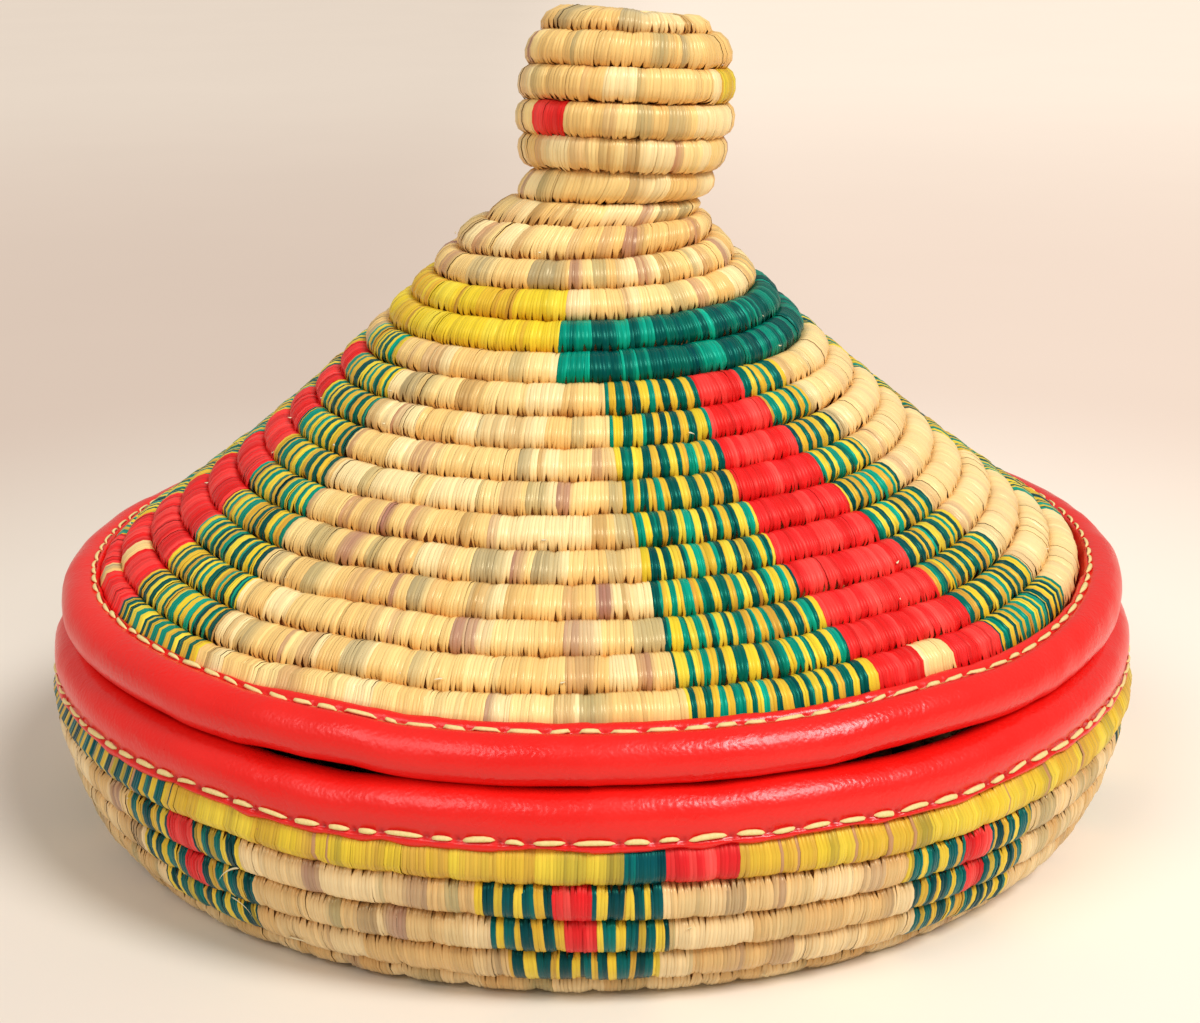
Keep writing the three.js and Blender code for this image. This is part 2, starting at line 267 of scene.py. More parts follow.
# How much red, green and blue handling stains and painted shade take away, and the splints' fresh and aged
# colours
STAIN_AND_SHADE = np.array([0.1, 0.29, 0.47])
TRAY_CREAMS = ("#EDD09A", "#E6C68C", "#F2DAA8", "#E0BC80")
TRAY_ENDS = ("#B3A678", "#A8906E", "#DCC38E", "#B99A78", "#BBAA7C", "#B08C78", "#E4CB96")


def bezier_chain(curves):
    """Points along Bezier curves set end to end: each share of a curve blends its control points
    two by two until one is left."""
    share = np.linspace(0, 1, 600)[:, None]
    runs = []
    for controls in curves:
        blend = [np.array(control, float) * np.ones_like(share) for control in controls]
        while len(blend) > 1:
            blend = [first + (last - first) * share for first, last in zip(blend, blend[1:])]
        runs.append(blend[0])
    return np.concatenate(runs)


def wall_line(curves, outside, pitch, narrowing):
    """A wall's middle line in the plane of radius and height, read at even steps of the distance
    walked along it. Its normal is the way walked, turned a quarter turn to the outside. Its rows lie
    a pitch apart at the rim, and closer by twice the narrowing with each row further in."""
    path = bezier_chain(curves)
    walked = np.concatenate([[0], np.cumsum(np.hypot(*np.diff(path, axis=0).T))])
    distance = np.linspace(0, walked[-1], 4000)
    radius, height = (np.interp(distance, walked, path[:, k]) for k in (0, 1))
    along = np.stack([np.gradient(radius, distance), np.gradient(height, distance)])
    along /= np.hypot(*along)
    return {"distance": distance, "radius": radius, "height": height, "rim": walked[-1],
            "along": along, "normal": outside * np.stack([along[1], -along[0]]),
            "pitch": pitch, "narrowing": narrowing}


def coil_distance(line, turn):
    """The coil's place on its wall line: back from the last row by count * (pitch - narrowing * count),
    where the count is the number of turns wound from the rim's front."""
    count = turn / TAU
    return line["rim"] - LAST_ROW_GAP - count * (line["pitch"] - line["narrowing"] * count)


def coil_turn(line, distance):
    """The angle wound from the rim's front where the coil is at a distance: coil_distance solved back."""
    back = line["rim"] - LAST_ROW_GAP - distance
    return 2 * back / (line["pitch"] + math.sqrt(line["pitch"] ** 2 - 4 * line["narrowing"] * back)) * TAU


def on_wall(line, distance, offset, turn):
    """Places at a distance along a wall line, an offset along its normal and an angle round the basket:
    x = r sin(turn) and y = -r cos(turn). Past its end the line runs on straight."""
    distance = np.maximum(distance, 0)
    past = np.maximum(distance - line["rim"], 0)
    radius, height, normal_r, normal_z = (
        np.interp(distance, line["distance"], values)
        for values in (line["radius"], line["height"], *line["normal"]))
    radius = np.maximum(radius + offset * normal_r + past * line["along"][0, -1], 0)
    height = height + offset * normal_z + past * line["along"][1, -1]
    return np.stack(np.broadcast_arrays(radius * np.sin(turn), -radius * np.cos(turn), height), axis=-1)


def smooth_step(low, high, value):
    """0 below low, 1 above high, and a smooth rise between them."""
    share = np.clip((value - low) / (high - low), 0, 1)
    return share * share * (3 - 2 * share)


def drift(value, wave, seed):
    """Smooth chance values from -1 to 1 along a line: one for each wave, eased from one to the next."""
    knots = np.random.default_rng(seed).uniform(-1, 1, 4096)
    step = np.floor(value / wave).astype(int)
    ease = smooth_step(0, 1, value / wave - step)
    return knots[step % len(knots)] * (1 - ease) + knots[(step + 1) % len(knots)] * ease


def necks(place, seed):
    """Where a coil is drawn in between its bulges: 0 along a bulge, and up to 1 at its ends by the
    fifth power of the share from its middle. The bulges lie between tighter stitches."""
    ends = np.cumsum(np.random.default_rng(seed).uniform(*BULGE_LENGTHS, 2000))
    bulge = np.searchsorted(ends, place)
    begun = np.concatenate([[0], ends])[bulge]
    return np.abs(2 * np.clip((place - begun) / (ends[bulge] - begun), 0, 1) - 1) ** 5


def ring_wave(turn, seed):
    """A slow unevenness round a ring: sine waves of two to seven rounds, each lower than the last."""
    rng = np.random.default_rng(seed)
    return sum(rng.uniform(0.3, 0.8) / rounds * np.sin(rounds * turn + rng.uniform(0, TAU))
               for rounds in range(2, 8))


def lay_wraps(line, outermost, innermost, spacing, seed):
    """Where the wraps lie along a coil between two angles, counted inwards from the rim's front.

    The wraps follow each other at the spacing, more or less, and fall into groups of one to three, as
    the stitches take them. Slack, which changes slowly along the coil, sets how far a group draws in.
    """
    rng = np.random.default_rng(seed)
    turn = np.linspace(outermost, innermost, 30000)
    radius = np.maximum(np.interp(coil_distance(line, turn), line["distance"], line["radius"]), COIL_START)
    walked = np.concatenate([[0], np.cumsum((radius[1:] + radius[:-1]) / 2 * np.diff(turn))])
    width = spacing * rng.uniform(*SPACING_SPREAD, int(1.1 * walked[-1] / spacing) + 8)
    middle = np.cumsum(width) - width / 2
    width, middle = width[middle < walked[-1]], middle[middle < walked[-1]]
    group = np.repeat(np.arange(len(middle)), rng.integers(1, 4, len(middle)))[:len(middle)]
    group_middle = (np.bincount(group, middle) / np.bincount(group))[group]
    angle = np.interp(middle, walked, turn)
    azimuth = np.degrees((angle + math.pi) % TAU - math.pi)
    slack = SLACK + SLOW_SLACK * drift(middle, 37.0, seed + 1) + QUICK_SLACK * drift(middle, 11.0, seed + 2)
    return {"width": width, "middle": middle, "group_middle": group_middle, "turn": angle,
            "pinch": slack * rng.uniform(0.5, 1.4, len(middle))[group], "azimuth": azimuth,
            "narrowing": slack * rng.uniform(0.1, 0.9, len(middle)),
            "reach": rng.normal(0, 0.04, len(middle))[group] + rng.normal(0, 0.05, len(middle)),
            "row": np.rint((angle - np.radians(azimuth)) / TAU).astype(int),
            "radius": np.interp(angle, turn, radius), "number": np.arange(len(middle))}


def choose(wraps, which):
    """The wraps that a true or false list picks."""
    return {name: values[which] for name, values in wraps.items()}


def splint_tones(count, starts, ends, run, aged, seed, aged_first=False):
    """One linear colour for each wrap. A splint gives a run of wraps, and the aged share of splints
    fade along it from one of the starts to one of the ends, or the other way where the aged end
    comes first, with a little chance in each wrap."""
    rng = np.random.default_rng(seed)
    lengths = rng.integers(run[0], run[1], count)
    splint = np.repeat(np.arange(count), lengths)[:count]
    begun = np.cumsum(lengths) - lengths
    share = (np.arange(count) - begun[splint]) / lengths[splint]
    starts, ends = (np.array([linear(colour)[:3] for colour in side]) for side in (starts, ends))
    start = starts[rng.integers(0, len(starts), count)][splint]
    end = ends[rng.integers(0, len(ends), count)][splint]
    share = 1 - share if aged_first else share
    turning = rng.uniform(0.0, 0.6, count)[splint]
    strength = rng.uniform(0.55, 1.0, count)[splint]
    share = strength * smooth_step(turning, turning + 0.45, share) * (rng.random(count) < aged)[splint]
    share = np.clip(share + rng.normal(0, 0.12, count) * (share > 0.05), 0, 1)[:, None]
    return (start * (1 - share) + end * share) * rng.normal(1, 0.065, (count, 1)).clip(0.8, 1.14)


def wrap_ribbons(name, line, wraps, tones, bend, material, seed, outer_steps=9, inner_steps=4):
    """Flat ribbons wound round the coil, a closed loop for each wrap.

    Round the coil a loop runs along a full, rounded oval: its distance is the row's middle plus
    half a row times the sine of the angle to the power SIDE_EASE, and its offset ROW_CREST times
    the cosine to the power CREST_EASE. Necks draw the oval in, and slow drifts sway and swell it.
    Across, a ribbon is four places whose outer two drop to its edges. Towards the row's rim side
    each wrap moves to its group's middle by the group's pinch, narrows by its own narrowing and ends
    uneven by its reach. Under the rim's leather the coil is pressed flat. The tone is browner at a
    ribbon's edges, partly as handled splints are and partly as painted shade between the wraps, and
    painted shade darkens it towards both grooves and over the row's rim side.
    """
    rng = np.random.default_rng(seed)
    count = len(wraps["turn"])
    loop = np.concatenate([
        np.linspace(-CREST_ARC, CREST_ARC, outer_steps, endpoint=False),
        np.linspace(CREST_ARC, TAU - CREST_ARC, inner_steps, endpoint=False)])[None, :, None]
    across = np.array([-0.5, -0.2, 0.2, 0.5])[None, None, :]
    lift = np.array([-1.0, 0.06, 0.0, -0.75])[None, None, :] * WRAP_EDGE_DROP
    tilt = rng.normal(0, 0.2, (count, 1, 1))
    column = {key: values[:, None, None] for key, values in wraps.items()}
    lift = lift + tilt * across + rng.normal(0, 0.07, (count, 1, 1))
    sine, cosine = np.sin(loop), np.cos(loop)
    drawn = smooth_step(0.5, 1.0, sine)
    lean = (rng.normal(0, 0.1, (count, 1, 1)) + 0.45 * drift(column["middle"], 7.0, seed + 5)) * sine
    along = (lean - column["pinch"] * drawn * (column["middle"] - column["group_middle"])
             + across * column["width"] * WRAP_OVERLAP * (1 - column["narrowing"] * drawn))
    turn = column["turn"] + along / column["radius"]
    place = column["middle"] + along
    neck = necks(place, seed + 1)
    fullness = (1.035 - NECK_DEPTH * neck + 0.035 * drift(place, 17.0, seed + 2)
                + 0.02 * drift(place, 5.0, seed + 4))
    sway = 0.4 * drift(place, 41.0, seed + 3)
    half = ROW_FILL * (line["pitch"] - 2 * line["narrowing"] * turn / TAU) * (1 - NECK_NARROWING * neck)
    swept = np.sign(sine) * np.abs(sine) ** SIDE_EASE
    raised = np.sign(cosine) * np.abs(cosine) ** CREST_EASE
    sideways = half * (1 + column["reach"] * drawn) + 0.5 * lift
    distance = coil_distance(line, turn) + sway + sideways * swept
    offset = (ROW_CREST * fullness + lift) * raised
    pressed = smooth_step(line["rim"] - PRESSED_FROM, line["rim"] - PRESSED_TO, distance)
    offset = offset * (1 - (1 - PRESSED_CREST) * pressed)
    distance = np.minimum(distance, line["rim"] - WRAPS_STOP)
    places = bend(on_wall(line, distance, offset, turn))

    faces = copies(count, grid_faces(loop.size, across.size, closed=True))

    # Painted shade: the tone darkens towards both grooves and over the row's rim side. At the ribbons' edges
    # the darkening is partly handling and partly painted shade between the wraps.
    edge = np.array([1.0, 0.0, 0.0, 0.5])[None, None, :, None]
    shade_and_wear = 0.55 * edge + 0.5 * (np.abs(sine) ** 4)[..., None] + 0.45 * smooth_step(0, 0.9, sine)[..., None]
    shaded = tones[:, None, None, :] * np.clip(1 - shade_and_wear * STAIN_AND_SHADE, 0.05, 1)
    down = np.broadcast_to(ROW_CREST * loop, turn.shape)
    weave = np.stack(np.broadcast_arrays(across * column["width"] + 7.3 * column["number"], down), axis=-1)
    return surface(name, places, faces, material, shaded, weave)


def grass_core(name, line, outermost, innermost, bend, material):
    """The grass bundle inside the wraps: a tube of ten sides, a little thinner than the wraps,
    carried along the coil, with its two ends drawn in to a point."""
    turn = np.arange(outermost, innermost, math.radians(6))[:, None]
    around = np.linspace(0, TAU, 10, endpoint=False)[None, :]
    thick = np.ones_like(turn)
    thick[[0, -1]] = 0.01
    half = CORE_HALF * (line["pitch"] - 2 * line["narrowing"] * turn / TAU)
    distance = coil_distance(line, turn) + thick * half * np.sin(around)
    offset = thick * CORE_CREST * np.cos(around)
    pressed = smooth_step(line["rim"] - PRESSED_FROM, line["rim"] - PRESSED_TO, distance)
    offset = offset * (1 - (1 - PRESSED_CREST) * pressed)
    places = bend(on_wall(line, np.minimum(distance, line["rim"] - CORE_STOPS), offset, turn))
    return surface(name, places, grid_faces(len(turn), around.size, around=True), material)


def starting_knot(name, line, bend, material, tone):
    """The knot that the coil starts from: a flat button round the wall line's start. Its section is
    half an oval of KNOT_RADIUS by KNOT_CREST, and its stitches part it into ribs, KNOT_RIBS sine waves
    round it. Painted shade darkens the grooves between the ribs and the button's edge, where it meets the
    coil."""
    turn = np.linspace(0, TAU, 6 * KNOT_RIBS, endpoint=False)[None, :]
    section = np.linspace(0, math.pi, 13)[:, None]
    rib = 0.5 + 0.5 * np.cos(KNOT_RIBS * turn + 0.4 * np.sin(turn))
    wide = np.maximum(np.sin(section), 0.004)
    out = (KNOT_CREST - 0.5 * wide * (1 - rib)) * np.cos(section)
    places = on_wall(line, KNOT_RADIUS * wide, out, turn)
    # Painted shade in the grooves between the ribs and round the button's edge.
    shade_and_wear = (0.9 * (1 - rib) ** 2 * wide + 0.3 * wide ** 4)[..., None]
    tones = np.array(linear(tone)[:3]) * np.clip(1 - shade_and_wear * STAIN_AND_SHADE, 0.05, 1)
    weave = np.stack(np.broadcast_arrays(KNOT_RADIUS * turn, KNOT_RADIUS * section), axis=-1)
    faces = grid_faces(section.size, turn.size, around=True)
    return surface(name, bend(places), faces, material, tones, weave)


def grid_faces(rows, columns, around=False, closed=False):
    """Four-cornered faces of a grid of places. Around joins its last column to its first, and closed
    joins its last row to its first."""
    row = np.arange(rows if closed else rows - 1)[:, None]
    column = np.arange(columns if around else columns - 1)[None, :]
    down, right = (row + 1) % rows, (column + 1) % columns
    corners = (row * columns + column, row * columns + right,
               down * columns + right, down * columns + column)
    return np.stack(np.broadcast_arrays(*corners), axis=-1).reshape(-1, 4)


def copies(count, faces):
    """The faces of one piece, repeated for a count of pieces whose places follow each other."""
    return (np.arange(count)[:, None, None] * (faces.max() + 1) + faces[None]).reshape(-1, 4)


def splint_material(name, roughness, fibre, glint="#FFFFFF"):
    """Split leaf, wrapped damp and dried taut: satin, with fine long fibres that catch the light, and
    with dye in its skin that tints the glint.

    Its colour is the piece's own tone. The fibres run along the splint, about 0.3 mm apart, drawn as
    noise stretched twenty times along the piece's weave map, in its lightness and its relief.
    """
    material, tree = blank_material(name)
    tone = node(tree, "ShaderNodeVertexColor", {"layer_name": "tone"}).outputs["Color"]
    weave = node(tree, "ShaderNodeUVMap", {"uv_map": "weave"}).outputs["UV"]
    lengthways = node(tree, "ShaderNodeMapping", None, {"Vector": weave, "Scale": (3.2, 0.16, 1.0)})
    fibres = noise(tree, lengthways.outputs[0], 1.0, 2.0)
    light = ramp(tree, fibres, (0.25, 0.75), (1 - fibre, 1 + fibre))
    colour = node(tree, "ShaderNodeVectorMath", {"operation": "SCALE"},
                  {0: tone, "Scale": light}).outputs[0]
    relief = node(tree, "ShaderNodeBump", None, {"Height": fibres, "Strength": 0.35, "Distance": 0.0001})
    skin(tree, {"Base Color": colour, "Roughness": roughness, "Specular Tint": linear(glint),
                "Normal": relief.outputs[0]})
    return material


def beyond(place, along, steps):
    """The place that lies some millimetres further along a direction."""
    return place[0] + steps * along[0], place[1] + steps * along[1]


tray_line = wall_line([
    [(0, FLOOR_MIDDLE), (FLOOR_EDGE, FLOOR_MIDDLE)],
    [(FLOOR_EDGE, FLOOR_MIDDLE), (FLOOR_EDGE + KNEE_REACH, FLOOR_MIDDLE),
     beyond(BELLY, BELLY_ALONG, -16), BELLY],
    [BELLY, beyond(BELLY, BELLY_ALONG, 4), beyond(TRAY_RIM, RIM_ALONG, -6.5), TRAY_RIM],
], 1, TRAY_ROW_PITCH, 0)
tray_turns = coil_turn(tray_line, COIL_START)
floor_turns = coil_turn(tray_line, FLOOR_EDGE - TRAY_ROW_PITCH / 2)
natural_splint = splint_material("natural_split_palm", 0.28, 0.08, "#FFF2C8")

# Dry grass stalks, packed hard: matt, and seen only in the gaps between wraps, where they lie in shadow.
# Their colour is brighter and more orange than the grass itself: painted light, standing in for the
# light that shines through the thin splints into the gaps.
grass, tree = blank_material("packed_dry_grass")
spot = node(tree, "ShaderNodeTexCoord").outputs["Object"]
stalks = noise(tree, spot, 900.0, 2.0)
skin(tree, {"Base Color": mix(tree, stalks, linear("#A8642E"), linear("#DDA05E")), "Roughness": 0.85})


def on_table(places):
    """The floor as it lies: nothing reaches below the table, so the crests underneath are flat."""
    return np.concatenate([places[..., :2], np.maximum(places[..., 2:], TABLE_GAP)], axis=-1)


floor_wraps = lay_wraps(tray_line, floor_turns, tray_turns, FLOOR_WRAP_SPACING, 11)
floor_tones = splint_tones(len(floor_wraps["turn"]), TRAY_CREAMS, TRAY_ENDS, (8, 15), 0.45, 12)
floor_pieces = [
    grass_core("tray_floor_grass", tray_line, floor_turns, tray_turns, on_table, grass),
    starting_knot("tray_floor_knot", tray_line, on_table, natural_splint, "#E0BC80"),
]
outer_rows = floor_wraps["turn"] < floor_turns + 4 * TAU
for part, where in {"outer": outer_rows, "inner": ~outer_rows}.items():
    floor_pieces.append(wrap_ribbons(f"tray_floor_{part}_splints", tray_line, choose(floor_wraps, where),
                                     floor_tones[where], on_table, natural_splint, 13,
                                     outer_steps=5, inner_steps=5))
for piece in floor_pieces:
    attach(piece, "tray")
    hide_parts("tray_floor_coil")

# The tray's wall: the same coil turned up into five rows. The row under the rim is sewn in dyed
# yellow, and nine small motifs of teal, yellow and red splints sit on the next three rows.
WRAP_SPACING = 0.95
COIL_END = -0.62 * TAU
NATURAL, RED, TEAL, YELLOW = range(4)
# Motifs on the tray, by row and in degrees round it
MOTIF_STEP = 40.0
MOTIF_SHIFT = -2.5
MOTIF_SLANT = 0.9
MOTIF_HALF = (8.0, 8.7)
MOTIF_REDS = ((1, -1.1, 2.5), (2, -0.9, 1.9))
ROLL_GAPS = ((2.7, -27, 7), (2.3, 33, 9))
# For each dye: a splint's fresh and aged colours, its run of wraps and the share that is aged
TRAY_DYES = (
    (TRAY_CREAMS, TRAY_ENDS, (8, 16), 0.5),
    (("#E6262C", "#EE3C3E", "#DE1F28"), ("#F25854", "#CE1A24"), (3, 8), 1.0),
    (("#0B4F58", "#0A5C62", "#073C48"), ("#0C7470", "#08323F"), (3, 8), 1.0),
    (("#E6C83C", "#DCB63E", "#E9CF46"), ("#AC963E", "#C69C42", "#A2923C", "#D2A848"), (5, 15), 0.8),
)
# Painted shade: how much darker each natural row gets, row by row down to the foot.
FOOT_PAINTED_SHADE = 0.045
UNDYED_TONE = "#C2936A"
UNDYED_SHARE = 0.03


def dyed_tones(dye, palette, seed):
    """One linear colour for each wrap by its dye, from a palette that holds the dyes in order."""
    sets = np.stack([splint_tones(len(dye), *tones[:4], seed + kind, *tones[4:])
                     for kind, tones in enumerate(palette)])
    return sets[dye, np.arange(len(dye))]


def stripe_dyes(count, teal_run, yellow_run, seed):
    """Teal and yellow by turns along the coil, in runs of a few wraps each."""
    rng = np.random.default_rng(seed)
    lengths = np.stack([rng.choice(teal_run, count), rng.choice(yellow_run, count)], axis=1).ravel()
    return np.repeat(np.tile([TEAL, YELLOW], count), lengths)[:count]


def tray_dyes(wraps, seed):
    """Each wrap's dye on the tray's wall, by its row below the rim and its azimuth."""
    row, azimuth = wraps["row"], wraps["azimuth"]
    near = (azimuth - MOTIF_SHIFT + MOTIF_STEP / 2) % MOTIF_STEP - MOTIF_STEP / 2 - MOTIF_SLANT * (row - 1)
    stripes = stripe_dyes(len(row), [3, 3, 4], [2, 2, 3], seed)
    left, right = -MOTIF_HALF[0] + 0.5 * (row - 1), MOTIF_HALF[1] - 0.5 * (row - 1) ** 2
    dye = np.where((row >= 1) & (row <= 3) & (near > left) & (near < right), stripes, NATURAL)
    for red_row, begin, end in MOTIF_REDS:
        dye = np.where((row == red_row) & (near > begin) & (near < end), RED, dye)
    dye = np.where(row <= 0, YELLOW, dye)
    for begin, end, kind in ((-104, -42.7, stripes), (2.5, 6.4, TEAL), (6.4, 12.7, RED)):
        dye = np.where((row == 0) & (azimuth > begin) & (azimuth < end), kind, dye)
    return dye


def rolls_part(turn):
    """How far the two rim rolls stand apart, in millimetres, at the two places where they don't meet:
    each gap has a height, an azimuth and a half width, and flat-topped sides."""
    azimuth = np.degrees((turn + math.pi) % TAU - math.pi)
    return sum(height * np.exp(-((azimuth - middle) / half) ** 4) for height, middle, half in ROLL_GAPS)


def tray_shape(places):
    """The tray as it has settled: towards the rim it waves up and down and in and out by half a
    millimetre, it sinks a little at the two places where the rolls don't meet, and nothing reaches
    below the table."""
    turn = np.arctan2(places[..., 0], -places[..., 1])
    share = smooth_step(14, 58, places[..., 2])
    moved = places.copy()
    out = 1 + share * 0.6 * ring_wave(turn, 21) / 170
    moved[..., 0] *= out
    moved[..., 1] *= out
    moved[..., 2] += share * (0.5 * ring_wave(turn, 22) - 0.5 * rolls_part(turn))
    return on_table(moved)


def loose_ends(name, line, starts, bend, material, tone):
    """Splint ends that have sprung loose: slim strips that leave a row, bend along it and curl out.

    A start is a distance and an angle on the wall, how far the strip runs round the basket and down
    the wall, and how far its tip stands off. Its four sides draw in to a point at the tip.
    """
    distance, turn, round_run, down_run, lift = (value[:, None, None] for value in np.array(starts, float).T)
    share = np.linspace(0, 1, 12)[None, :, None]
    across = np.array([-0.35, 0.0, 0.35, 0.0])[None, None, :]
    thick = np.array([0.0, -0.08, 0.0, 0.08])[None, None, :]
    slim = np.clip(1.05 - share ** 2, 0.03, 1) * np.where(share == 0, 0.05, 1)
    radius = np.interp(distance, line["distance"], line["radius"])
    places = bend(on_wall(line, distance + down_run * share ** 1.4 + slim * across,
                          5.5 + lift * share ** 1.6 + slim * thick,
                          turn + round_run * np.sin(1.3 * share) / radius))
    faces = copies(len(starts), grid_faces(share.size, across.size, around=True))
    tones = np.broadcast_to(np.array(linear(tone)[:3]), places.shape)
    weave = np.stack(np.broadcast_arrays(0.7 * across + 0 * share, 12.0 * share + 0 * across), axis=-1)
    return surface(name, places, faces, material, tones, np.broadcast_to(weave, (*places.shape[:-1], 2)))


def scattered_ends(line, count, rows, seed):
    """Short tips that stand out at chance places on a run of rows, at the rows' rim side."""
    rng = np.random.default_rng(seed)
    turn = rng.uniform(rows[0], rows[1], count) * TAU
    return np.stack([coil_distance(line, turn) + 0.36 * line["pitch"], turn, rng.uniform(-2.2, 2.2, count),
                     rng.uniform(-0.6, 1.4, count), rng.uniform(0.2, 0.9, count)], axis=1)


red_splint = splint_material("red_dyed_split_palm", 0.42, 0.08, "#FFB0A0")
teal_splint = splint_material("teal_dyed_split_palm", 0.3, 0.16, "#58D8B8")
yellow_splint = splint_material("yellow_dyed_split_palm", 0.34, 0.08, "#FFEE90")
DYES = {NATURAL: ("natural", natural_splint), RED: ("red", red_splint),
        TEAL: ("teal", teal_splint), YELLOW: ("yellow", yellow_splint)}

wall_wraps = lay_wraps(tray_line, COIL_END, floor_turns, WRAP_SPACING, 31)
wall_dyes = tray_dyes(wall_wraps, 32)
wall_tones = dyed_tones(wall_dyes, TRAY_DYES, 33)
# Painted shade: natural wraps get darker row by row from under the rim down to the foot.
shaded_foot_rows = (np.clip(wall_wraps["row"], 1, 4) - 1) * (wall_dyes == NATURAL)
wall_tones *= 1 - FOOT_PAINTED_SHADE * shaded_foot_rows[:, None]
# By chance a few wraps of the yellow row were left undyed, and have turned brown.
by_chance = np.random.default_rng(36).random(len(wall_dyes)) < UNDYED_SHARE
undyed = (wall_wraps["row"] <= 0) & (wall_dyes == YELLOW) & by_chance
wall_tones[undyed] = linear(UNDYED_TONE)[:3]
sprung = coil_distance(tray_line, np.radians([-34.3, -33.8, -29.0]) + np.array([1, 2, 3]) * TAU)
TRAY_LOOSE_ENDS = [
    (sprung[0] - 3.0, math.radians(-34.3), -7.0, -4.5, 2.6),
    (sprung[1] - 4.0, math.radians(-36.8), 9.0, -3.0, 2.2),
    (sprung[2] - 2.0, math.radians(-31.0), 8.0, 2.5, 1.6),
]
wall_pieces = [
    grass_core("tray_wall_grass", tray_line, COIL_END, floor_turns, tray_shape, grass),
    loose_ends("tray_loose_ends", tray_line, TRAY_LOOSE_ENDS, tray_shape, natural_splint, "#EADBB0"),
    loose_ends("tray_tips", tray_line, scattered_ends(tray_line, 18, (0.7, 4.4), 35), tray_shape,
               natural_splint, "#E2CF9E"),
]
low_rows = wall_wraps["turn"] > 2.5 * TAU
for dye, (word, material) in DYES.items():
    for part, where in {"upper": ~low_rows, "lower": low_rows}.items():
        which = where & (wall_dyes == dye)
        if which.any():
            wall_pieces.append(wrap_ribbons(f"tray_wall_{part}_{word}_splints", tray_line,
                                            choose(wall_wraps, which), wall_tones[which], tray_shape,
                                            material, 34))
for piece in wall_pieces:
    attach(piece, "tray")
    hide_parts("tray_wall_coil")

# The rim of each half: one strip of red leather folded over a padded roll of grass, its two lips
# sewn down on the coil with a cream thread that runs in and out about every ten millimetres. The
# thread pulls small dents into the leather, and the padding shows through as slow lumps.
ROLL_RADIUS = 8.1
PADDING_RADIUS = 6.2
ROOT_FROM_SEAM = 1.57
LIP_OUT = (3.4, 4.1, 4.8, 5.1, 5.0, 4.8, 4.8, 5.1)
HOLE_GAP = 1.05
LEATHER_STEPS_A_STITCH = 10


def stitch_holes(stitches, seed):
    """The angles of the stitch holes round a rim: even steps, each moved by up to a fifth of a step."""
    moved = np.random.default_rng(seed).uniform(-0.2, 0.2, stitches)
    return (np.arange(stitches) + 0.5 + moved) * TAU / stitches


def tray_seam(turn):
    """How far the tray's seam, and then its leather's edge, lie from the middle of the roll, and how
    much of its full height the roll keeps beside the seam."""
    return 7.3 + 0 * turn, 9.1 + 0 * turn, 1 + 0 * turn


def lid_seam(turn):
    """The same on the lid: in front the seam is pulled in close to the roll, which it flattens a
    little, and leaves a wide lip. Everywhere else it runs close to the leather's edge."""
    azimuth = np.degrees((turn + math.pi) % TAU - math.pi)
    front = smooth_step(-42, -27, azimuth) * smooth_step(76, 42, azimuth)
    return 6.9 - 2.7 * front, 8.0 - 0.3 * front, 1 - 0.14 * front


